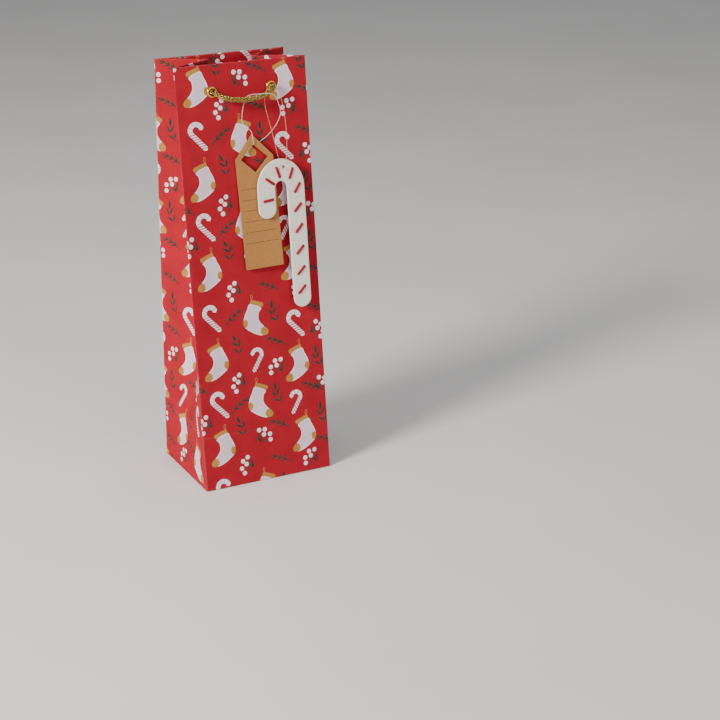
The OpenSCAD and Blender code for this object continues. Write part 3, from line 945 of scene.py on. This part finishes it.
def makeKnot(name, x, v, tilt, way, body, node):
    # the cord's end: out of the eyelet as a rounded stub, tied in an overhand knot behind
    behind = 2.4
    stubLine = [(x, n, v) for n in np.linspace(behind + 1, -cordPivot, 12)]
    stub = stranded("stub", onSheet(stubLine, tilt, way), cord)
    tip = ball(onSheet([(x, -cordPivot, v)], tilt, way)[0], 2.15 * mm, goldYarn)
    turn = np.linspace(0, 2 * math.pi, 64, endpoint=False)
    lay = (knotRadius - 1.7) / 3
    knotLine = np.stack([x + lay * (np.sin(turn) + 2 * np.sin(2 * turn)),
                         behind + knotDepth / 2 - (knotDepth / 2 - 1.7) * np.sin(3 * turn),
                         v + lay * (np.cos(turn) - 2 * np.cos(2 * turn))], 1)
    thin = dict(cord, **{"Lay Radius": 1.0 * mm, "Strand Radius": 0.62 * mm, "Core Radius": 1.1 * mm,
                         "Weave": 0.14 * mm, "Pitch": 10.0 * mm})
    tied = stranded("tied", onSheet(knotLine, tilt, way), thin, True)
    piece = joined(name, [stub, tip, tied])
    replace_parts(piece, node)
    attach(piece, body)


for side, word in ((-1, "left"), (1, "right")):
    makeKnot(f"front_cord_end_{word}", side * eyeX, frontEyeV, frontTilt, -1,
             "front_upper", f"front_knot_{word}")
    makeKnot(f"back_cord_end_{word}", side * eyeX, backEyeV, backTilt, 1, "back", f"back_knot_{word}")
print("handles made")

# eyelets
eyelet = {
    "segments": 56,
    "profile": [(2.62, 0.3), (2.66, -0.1), (2.8, -0.42), (3.1, -0.64), (3.5, -0.72), (4.0, -0.66),
                (4.4, -0.46), (4.65, -0.2), (4.7, -0.02), (4.4, 0.0), (2.95, 0.02), (2.95, 1.78),
                (4.1, 1.8), (4.2, 1.95), (4.05, 2.2), (3.6, 2.38), (3.05, 2.38), (2.72, 2.2), (2.62, 1.8)],
}


def makeEyelet(name, x, v, tilt, way, body, node):
    profile, count = eyelet["profile"], eyelet["segments"]
    n = len(profile)
    verts, faces = [], []
    for k in range(count):
        a = 2 * math.pi * k / count
        verts += [(x + r * math.cos(a), depth, v + r * math.sin(a)) for r, depth in profile]
        m = (k + 1) % count
        faces += [(k * n + i, k * n + (i + 1) % n, m * n + (i + 1) % n, m * n + i) for i in range(n)]
    mesh = bpy.data.meshes.new(name)
    mesh.from_pydata(onSheet(verts, tilt, way).tolist(), [], faces)
    mesh.polygons.foreach_set("use_smooth", [True] * len(faces))
    mesh.materials.append(brass)
    work = bmesh.new()
    work.from_mesh(mesh)
    bmesh.ops.recalc_face_normals(work, faces=work.faces)
    work.to_mesh(mesh)
    work.free()
    piece = bpy.data.objects.new(name, mesh)
    bpy.context.scene.collection.objects.link(piece)
    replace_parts(piece, node)
    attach(piece, body)


for side, word in ((-1, "left"), (1, "right")):
    makeEyelet(f"front_ring_{word}", side * eyeX, frontEyeV, frontTilt, -1,
               "front_upper", f"eyelet_front_{word}")
    makeEyelet(f"back_ring_{word}", side * eyeX, backEyeV, backTilt, 1, "back", f"eyelet_back_{word}")
print("eyelets made")

# kraft tag
tag = {
    "x": 5.0,
    "top": frontEyeV - 38,
    "width": 34.0,
    "height": 115.0,
    "point": 20.0,
    "thickness": 0.7,
    "out": 0.65,  # from the bag to the tag's back
    "turn": 1.8,
    "swing": 2.6,  # how far its right side stands out
    "window": 17.0,
    "lines": 6,
    "firstLine": 46.0,
    "lineStep": 9.3,
    "lineWidth": 0.38,
}
turned = math.radians(tag["turn"])
wide, tall = tag["width"] / 2, tag["height"]
tagOutline = [(0, 0), (-wide, -tag["point"]), (-wide, -tall + 0.8), (-wide + 0.8, -tall), (wide - 0.8, -tall),
              (wide, -tall + 0.8), (wide, -tag["point"])]
windowReach = tag["window"] / math.sqrt(2)
windowMid = -8.5 - windowReach
window = [(windowReach, windowMid), (0, windowMid + windowReach),
          (-windowReach, windowMid), (0, windowMid - windowReach)]
rules = []
for k in range(tag["lines"]):
    z = -tag["firstLine"] - k * tag["lineStep"]
    xs = np.linspace(-14.6, 14.2, 16)
    rules.append((stroke([(x, z + 0.08 * math.sin(1.7 * x + k)) for x in xs], tag["lineWidth"]), None, 1))


def tagFace(x, z):
    u = tag["x"] + x * math.cos(turned) - z * math.sin(turned)
    v = tag["top"] + x * math.sin(turned) + z * math.cos(turned)
    swing = tag["swing"] * (x + wide) / (2 * wide) * ease((-z + 12) / 40)
    curl = 0.3 * (x / wide) ** 2 * ease(-z / 60)
    return onPanel(u, v, -tag["out"] - tag["thickness"] - swing - curl, frontTilt, -1)


flat, tris, ink = flatCut(tagOutline, [window], rules, np.arange(-tall + 4, -1, 4), np.arange(-15, 16, 3.75))
verts, faces, inkAll = thickened(tagFace(flat[:, 0], flat[:, 1]), tris, ink, tag["thickness"], 0)
tagPiece = meshPiece("kraft_tag", [(verts, faces, inkAll, np.zeros(len(verts)))], [kraft, writingLine])
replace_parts(tagPiece, "gift_tag")
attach(tagPiece, "tag")

thread = {
    "Strands": 2,
    "Both Ways": 0.0,
    "Lay Radius": 0.11 * mm,
    "Strand Radius": 0.13 * mm,
    "Core Radius": 0.08 * mm,
    "Weave": 0.0,
    "Pitch": 1.8 * mm,
    "Spacing": 0.3 * mm,
    "Sides": 6,
    "Material": whiteThread,
}
# across, depth (outwards is negative) and height on the front panel
tagThreadPoints = [
    (5.3, -2.3, 296.4), (5.5, -2.95, 297.4), (5.2, -2.95, 301), (4.9, -2.95, 305.3), (3.8, -2.9, 308.5),
    (0.2, -3, 311.5), (-3.2, -3.2, 315.5), (-3.6, -3.8, 321), (-2.6, -4.4, 327.5), (-0.8, -4.6, 333),
    (1.8, -5, 337.4),
    (6, -6.8, 338.9), (11, -8.8, 338.9), (16, -10, 338.9), (20.5, -10.2, 338.4), (25, -9.2, 336.5),
    (29, -7, 330), (31.2, -5.5, 321), (27.5, -4.2, 312), (20, -2.4, 303.5), (13, -0.7, 298.6),
    (9, -0.32, 297), (6.6, -0.32, 296.4),
]
loopLine = smoothLine(tagThreadPoints, True)
tagLoop = stranded("tag_loop", onSheet(loopLine, frontTilt, -1), thread, True)
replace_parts(tagLoop, "tag_thread")
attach(tagLoop, "tag")
print("tag made")

# felt cane
cane = {
    "band": 16.5,
    "width": 44.0,
    "height": 131.0,
    "hook": 50.0,
    "thickness": 1.8,
    "out": 4.5,
    "top": frontEyeV - 61,
    "roundness": 0.6,
    "holeRadius": 1.0,
}
caneMid = (27.0, cane["top"] - cane["width"] / 2 - 3)
caneHole = (caneMid[0] + 4, cane["top"] - 7.5)
stitches = [  # across, up and turn of each
    (14.5, 248, 6), (17, 264, -37), (25, 271, -73), (37, 269, 68), (42, 256, 55), (41.5, 239, 45),
    (41.5, 221, 48), (41.2, 202, 45), (41, 184, 44), (40.5, 167, 44),
]


def caneOutline(inwards=0.0):
    w, b = cane["width"] / 2 - inwards, cane["band"] / 2
    archH = cane["top"] - caneMid[1] - inwards
    innerX = cane["width"] / 2 - cane["band"] + inwards
    foot, tip = cane["top"] - cane["height"], cane["top"] - cane["hook"]
    loop = []
    for cx, cy, rx, ry, a0, a1, n in (
            (caneMid[0], caneMid[1], w, archH, 0, 180, 25),
            (caneMid[0] - cane["width"] / 2 + b, tip + b, b - inwards, b - inwards, 180, 360, 15),
            (caneMid[0], caneMid[1], innerX, innerX + 0.5, 180, 0, 13),
            (caneMid[0] + cane["width"] / 2 - b, foot + b, b - inwards, b - inwards, 180, 360, 15)):
        for a in np.radians(np.linspace(a0, a1, n)):
            loop.append((cx + rx * math.cos(a), cy + ry * math.sin(a)))
    return loop


def toOutline(points, loops):
    # distance from each point to the nearest edge of the loops
    best = np.full(len(points), 1e9)
    for loop in loops:
        p = np.array(loop)
        for a, b in zip(p, np.roll(p, -1, axis=0)):
            d = b - a
            t = np.clip(((points - a) @ d) / (d @ d), 0, 1)
            best = np.minimum(best, np.linalg.norm(points - a - t[:, None] * d, axis=1))
    return best


hole = disc(*caneHole, cane["holeRadius"], 16)
rings = [(caneOutline(d), None, 0) for d in (0.15, 0.4, 0.9, 1.6)]
flat, tris, ink = flatCut(caneOutline(), [hole], rings, np.arange(cane["top"] - 130, cane["top"], 2.6),
                          np.arange(5.5, 49, 2.6))
gap = toOutline(flat, [caneOutline(), hole])
swell = np.sqrt(np.clip(1 - (1 - np.clip(gap / cane["roundness"], 0, 1)) ** 2, 0, 1))
dent = np.zeros(len(flat))
for x, z, angle in stitches:
    a = math.radians(angle)
    way = np.array([math.cos(a), math.sin(a)])
    rel = flat - (x, z)
    along, off = rel @ way, rel @ np.array([-way[1], way[0]])
    dent += 0.28 * np.exp(-(off / 1.6) ** 2) * ease((6 - np.abs(along)) / 2)
wave = 0.25 * ripple(flat[:, 0] * 1.6, flat[:, 1], 4.2)
rim = gap < 1e-6
order = np.cumsum(~rim) - 1 + len(flat)
second = np.where(rim, np.arange(len(flat)), order)
thick = cane["thickness"] / 2
face = -cane["out"] - thick - thick * swell + dent * swell + wave * 0.4
back = (-cane["out"] - thick + thick * swell + wave * 0.4)[~rim]
points = np.concatenate([onPanel(flat[:, 0], flat[:, 1], face, frontTilt, -1),
                         onPanel(flat[~rim, 0], flat[~rim, 1], back, frontTilt, -1)])
faces = tris.tolist() + second[tris[:, ::-1]].tolist()
canePiece = meshPiece("felt_cane", [(points, faces, [0] * len(faces), np.zeros(len(points)))], [felt])
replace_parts(canePiece, "cane_ornament")
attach(canePiece, "cane")

stitch = {
    "Length": 10.0 * mm,
    "Width": 2.6 * mm,
    "Height": 0.7 * mm,
    "Material": stitchRed,
}


def stitchTree(sizes):
    # two threads side by side, bowed so that their ends go into the felt, at each point
    tree, given, out = newTree("sewnStitches", sizes)
    g = given.outputs
    half = calc(tree, "MULTIPLY", g["Length"], 0.5)
    start = put(tree, "ShaderNodeCombineXYZ", {"X": calc(tree, "MULTIPLY", half, -1.0)})
    end = put(tree, "ShaderNodeCombineXYZ", {"X": half})
    line = put(tree, "GeometryNodeCurvePrimitiveLine", {"Start": start.outputs[0], "End": end.outputs[0]})
    line = put(tree, "GeometryNodeResampleCurve", {"Curve": line.outputs[0], "Count": 17})
    pair = put(tree, "GeometryNodeDuplicateElements",
               {"Geometry": line.outputs[0], "Amount": 2}, domain="SPLINE")
    factor = put(tree, "GeometryNodeSplineParameter").outputs["Factor"]
    fromMid = calc(tree, "ABSOLUTE", calc(tree, "MULTIPLY_ADD", factor, 2.0, -1.0))
    drop = calc(tree, "MULTIPLY", calc(tree, "POWER", fromMid, 7.0), g["Height"])
    sideways = calc(tree, "MULTIPLY", calc(tree, "SUBTRACT", pair.outputs["Duplicate Index"], 0.5),
                    calc(tree, "MULTIPLY", g["Width"], 0.47))
    offset = put(tree, "ShaderNodeCombineXYZ", {"Y": drop, "Z": sideways})
    bowed = put(tree, "GeometryNodeSetPosition", {"Geometry": pair.outputs[0], "Offset": offset.outputs[0]})
    ring = put(tree, "GeometryNodeCurvePrimitiveCircle", {"Resolution": 10, "Radius": calc(
        tree, "MULTIPLY", g["Width"], 0.27)})
    sewn = put(tree, "GeometryNodeCurveToMesh", {"Curve": bowed.outputs[0], "Profile Curve": ring.outputs[0],
                                                  "Fill Caps": True})
    turn = put(tree, "GeometryNodeInputNamedAttribute", {"Name": "turn"}, data_type="FLOAT").outputs[0]
    rotation = put(tree, "ShaderNodeCombineXYZ", {"Y": calc(tree, "MULTIPLY", turn, -1.0)})
    copies = put(tree, "GeometryNodeInstanceOnPoints", {
        "Points": g["Geometry"], "Instance": sewn.outputs[0], "Rotation": rotation.outputs[0]})
    real = put(tree, "GeometryNodeRealizeInstances", {"Geometry": copies.outputs[0]})
    smooth = put(tree, "GeometryNodeSetShadeSmooth", {"Geometry": real.outputs[0]})
    done = put(tree, "GeometryNodeSetMaterial", {"Geometry": smooth.outputs[0], "Material": g["Material"]})
    tree.links.new(done.outputs[0], out.inputs[0])
    return tree


spots = bpy.data.meshes.new("spots")
stitchDepth = -cane["out"] - cane["thickness"] - 0.1
spots.from_pydata([(x * mm, stitchDepth * mm, z * mm) for x, z, _ in stitches], [], [])
stitchTurns = [math.radians(a) for _, _, a in stitches]
spots.attributes.new("turn", "FLOAT", "POINT").data.foreach_set("value", stitchTurns)
spotsObject = bpy.data.objects.new("spots", spots)
bpy.context.scene.collection.objects.link(spotsObject)
frontMatrix = Matrix.Translation((0, -halfD * mm, 0)) @ Matrix.Rotation(-frontTilt, 4, "X")
sewing = applied("cane_sewing", spotsObject, stitchTree(stitch), stitch, frontMatrix)
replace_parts(sewing, "cane_stitches")
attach(sewing, "cane")

caneThreadPoints = [
    (31, -5.4, 275.3), (31.2, -7.2, 276.2), (32.3, -7.3, 280.5), (33.6, -7.1, 285), (34.4, -7.5, 296),
    (34.2, -8.2, 309), (33, -8.8, 322), (31.2, -9, 333), (29, -8.4, 340.5), (26.3, -7, 345),
    (23.4, -4.6, 344.2), (20.6, -3.4, 340.8), (18.6, -3.4, 335.5), (18, -4.2, 328), (19.8, -4.6, 318),
    (23.2, -4.4, 303), (26.3, -3.8, 288), (28.3, -3.7, 280), (30.2, -3.8, 276),
]
loopLine = smoothLine(caneThreadPoints, True)
gilt = dict(thread, Material=goldThread)
caneLoop = stranded("cane_loop", onSheet(loopLine, frontTilt, -1), gilt, True)
tieLine = smoothLine([(31.2, -7.2, 275.2), (30.4, -7.4, 274.6), (30.2, -7.6, 273.6), (30.9, -7.7, 273.2),
                      (31.4, -7.5, 274), (31, -7.3, 275), (30.3, -7.3, 275.4), (30, -7.2, 272.4)])
tie = stranded("tie", onSheet(tieLine, frontTilt, -1), gilt)
caneLoop = joined("cane_loop", [caneLoop, tie])
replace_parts(caneLoop, "cane_thread")
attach(caneLoop, "cane")
print("cane made")

# floor, light, camera
floorMat, floorTree, floorShader = newMaterial("floor", (0.78, 0.76, 0.74), 0.6)
floorTree.links.new(ramped(floorTree, noiseOf(floorTree, 3, 2), (0.76, 0.74, 0.72), (0.8, 0.78, 0.76)),
                    floorShader.inputs["Base Color"])
floorMesh = bpy.data.meshes.new("floor")
floorMesh.from_pydata([(x, y, -0.0003) for x, y in ((-6, -6), (6, -6), (6, 6), (-6, 6))], [], [(0, 1, 2, 3)])
floorMesh.materials.append(floorMat)
floor = bpy.data.objects.new("floor", floorMesh)
bpy.context.scene.collection.objects.link(floor)


def addLamp(name, place, aim, size, power, colour=(1, 1, 1)):
    data = bpy.data.lights.new(name, "AREA")
    data.shape, data.size, data.energy, data.color = "DISK", size, power, colour
    lamp = bpy.data.objects.new(name, data)
    lamp.location = place
    lamp.rotation_euler = (Vector(aim) - Vector(place)).to_track_quat("-Z", "Y").to_euler()
    bpy.context.scene.collection.objects.link(lamp)


middle = (0, 0, 0.18)
addLamp("key", (-1.6, -0.5, 1.1), middle, 0.55, 56, (1, 0.96, 0.92))
addLamp("fill", (0.5, -2.0, 0.9), middle, 1.2, 10)
addLamp("overhead", (0.1, 0.3, 1.8), middle, 1.6, 9)
world = bpy.data.worlds.new("studio")
world.use_nodes = True
world.node_tree.nodes["Background"].inputs["Color"].default_value = (0.95, 0.97, 1, 1)
world.node_tree.nodes["Background"].inputs["Strength"].default_value = 0.3
bpy.context.scene.world = world

camera = {
    "place": (-0.5787, -1.3366, 0.6482),
    "yaw": 27.43,
    "pitch": 20.8,
    "lens": 87.4,
}
cameraData = bpy.data.cameras.new("camera")
cameraData.sensor_width = 36
cameraData.lens = camera["lens"]
cameraObject = bpy.data.objects.new("camera", cameraData)
cameraObject.location = camera["place"]
cameraObject.rotation_euler = (math.radians(90 - camera["pitch"]), 0, math.radians(-camera["yaw"]))
bpy.context.scene.collection.objects.link(cameraObject)
bpy.context.scene.camera = cameraObject
print("stage set")
